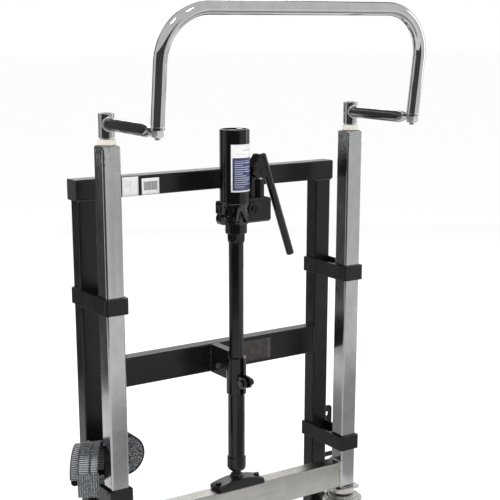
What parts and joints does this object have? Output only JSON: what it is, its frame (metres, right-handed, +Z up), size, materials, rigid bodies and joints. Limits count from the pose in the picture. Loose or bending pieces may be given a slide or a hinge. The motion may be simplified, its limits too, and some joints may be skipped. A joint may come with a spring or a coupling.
{
  "type": "hydraulic lifting dolly (one unit of a furniture and machinery mover pair)",
  "caption": "Hydraulic lifting dolly: chrome frame on swivel casters, black sliding carriage, upright hand-pumped jack, folding U-handle and strap.",
  "frame": {"origin": "on the floor, under the middle of the bounding box at rest", "axes": "+X to the operator's right along the crossbars, +Y towards the load, away from the operator, +Z up"},
  "size_m": [0.744, 0.4404, 1.2653],
  "materials": {
    "chrome_tube": "polished",
    "chrome_beam": "satin",
    "chrome_handle": "polished",
    "chrome_arm": "satin",
    "chrome_rod": "polished",
    "ivory_plastic": "matte",
    "zinc_plate": "satin",
    "plain_steel": "satin",
    "black_frame_paint": "satin",
    "black_gloss_paint": "gloss",
    "black_plastic": "matte",
    "grey_webbing": "matte",
    "cast_hub": "matte",
    "wheel_tread": "satin"
  },
  "bodies": {
    "frame": {"upright_left": "chrome_tube", "upright_right": "chrome_tube", "upright_caps": "chrome_tube", "pivot_bushes": "ivory_plastic", "lower_beam": "chrome_beam", "caster_plates": "zinc_plate", "swivel_heads": "zinc_plate", "jack_saddle": "black_frame_paint", "saddle_bolts": "black_gloss_paint", "ram_foot": "black_gloss_paint", "ram_rod": "chrome_rod", "ram_piston": "plain_steel"},
    "carriage": {"post_left": "black_frame_paint", "post_right": "black_frame_paint", "top_crossbar": "black_frame_paint", "mid_crossbar": "black_frame_paint", "crossbar_plugs": "black_plastic", "toe_plate": "black_frame_paint", "guide_bands_upper": "black_frame_paint", "guide_bands_lower": "black_frame_paint", "guide_rear_plates": "black_frame_paint", "strap_eyes": "black_frame_paint", "strap_pegs": "black_frame_paint", "jack_bracket": "black_frame_paint", "bracket_bolt": "plain_steel", "jack_collar": "black_gloss_paint", "collar_bolt": "black_gloss_paint", "reservoir": "black_gloss_paint", "reservoir_lid": "black_gloss_paint", "filler_plug": "plain_steel", "jack_head": "black_gloss_paint", "cylinder_nuts": "black_gloss_paint", "cylinder_upper": "black_gloss_paint", "cylinder_lower": "black_gloss_paint", "cylinder_end_cap": "black_gloss_paint", "pump_block": "black_gloss_paint", "pump_barrel": "black_gloss_paint", "fulcrum_lug": "black_gloss_paint", "strap_roll": "grey_webbing", "strap_bundle": "grey_webbing"},
    "arm_left": {"arm_left": "chrome_arm", "arm_pin_left": "plain_steel"},
    "arm_right": {"arm_right": "chrome_arm", "arm_pin_right": "plain_steel"},
    "handle": {"handle_bar": "chrome_handle", "handle_studs": "plain_steel", "handle_hardware": "plain_steel"},
    "pump_lever": {"lever_channel": "black_gloss_paint", "lever_pins": "black_gloss_paint", "lever_bar": "black_gloss_paint"},
    "plunger": {"pump_plunger": "plain_steel"},
    "release_screw": {"release_screw": "black_gloss_paint"},
    "caster_left": {"caster_fork_left": "zinc_plate", "caster_axle_left": "plain_steel"},
    "caster_right": {"caster_fork_right": "zinc_plate", "caster_axle_right": "plain_steel"},
    "wheel_left": {"wheel_hub_left": "cast_hub", "wheel_tread_left": "wheel_tread"},
    "wheel_right": {"wheel_hub_right": "cast_hub", "wheel_tread_right": "wheel_tread"}
  },
  "joints": [
    {"name": "carriage_lift", "type": "slide", "parent": "frame", "child": "carriage", "axis": [0, 0, 1], "range_m": [0, 0.25]},
    {"name": "left_arm_swing", "type": "hinge", "parent": "frame", "child": "arm_left", "pos_m": [-0.302, 0.03024, 1], "axis": [0, 0, 1], "range_deg": [-75, 75]},
    {"name": "right_arm_swing", "type": "hinge", "parent": "frame", "child": "arm_right", "pos_m": [0.302, 0.03024, 1], "axis": [0, 0, 1], "range_deg": [-75, 75]},
    {"name": "handle_level", "type": "hinge", "parent": "arm_left", "child": "handle", "pos_m": [-0.30755, -0.18169, 1.04], "axis": [0, 0, 1], "range_deg": [-75, 75]},
    {"name": "pump_lever_swing", "type": "hinge", "parent": "carriage", "child": "pump_lever", "pos_m": [0.0435, 0.03424, 0.925], "axis": [0, -1, 0], "range_deg": [0, 35]},
    {"name": "plunger_stroke", "type": "slide", "parent": "carriage", "child": "plunger", "axis": [0, 0, 1], "range_m": [0, 0.0098]},
    {"name": "release_turn", "type": "hinge", "parent": "carriage", "child": "release_screw", "pos_m": [0.033, 0.01424, 0.842], "axis": [0, -1, 0], "range_deg": [0, 180]},
    {"name": "left_caster_swivel", "type": "hinge", "parent": "frame", "child": "caster_left", "pos_m": [-0.302, 0.03024, 0.12], "axis": [0, 0, 1], "continuous": true},
    {"name": "left_wheel_roll", "type": "hinge", "parent": "caster_left", "child": "wheel_left", "pos_m": [-0.302, 0.06024, 0.05], "axis": [1, 0, 0], "continuous": true},
    {"name": "right_caster_swivel", "type": "hinge", "parent": "frame", "child": "caster_right", "pos_m": [0.302, 0.03024, 0.12], "axis": [0, 0, 1], "continuous": true},
    {"name": "right_wheel_roll", "type": "hinge", "parent": "caster_right", "child": "wheel_right", "pos_m": [0.302, 0.06024, 0.05], "axis": [1, 0, 0], "continuous": true}
  ],
  "couplings": [
    {"joint": "right_arm_swing", "follows": "left_arm_swing", "ratio": 1},
    {"joint": "handle_level", "follows": "left_arm_swing", "ratio": -1},
    {"joint": "plunger_stroke", "follows": "pump_lever_swing", "m_per_rad": 0.01575}
  ]
}
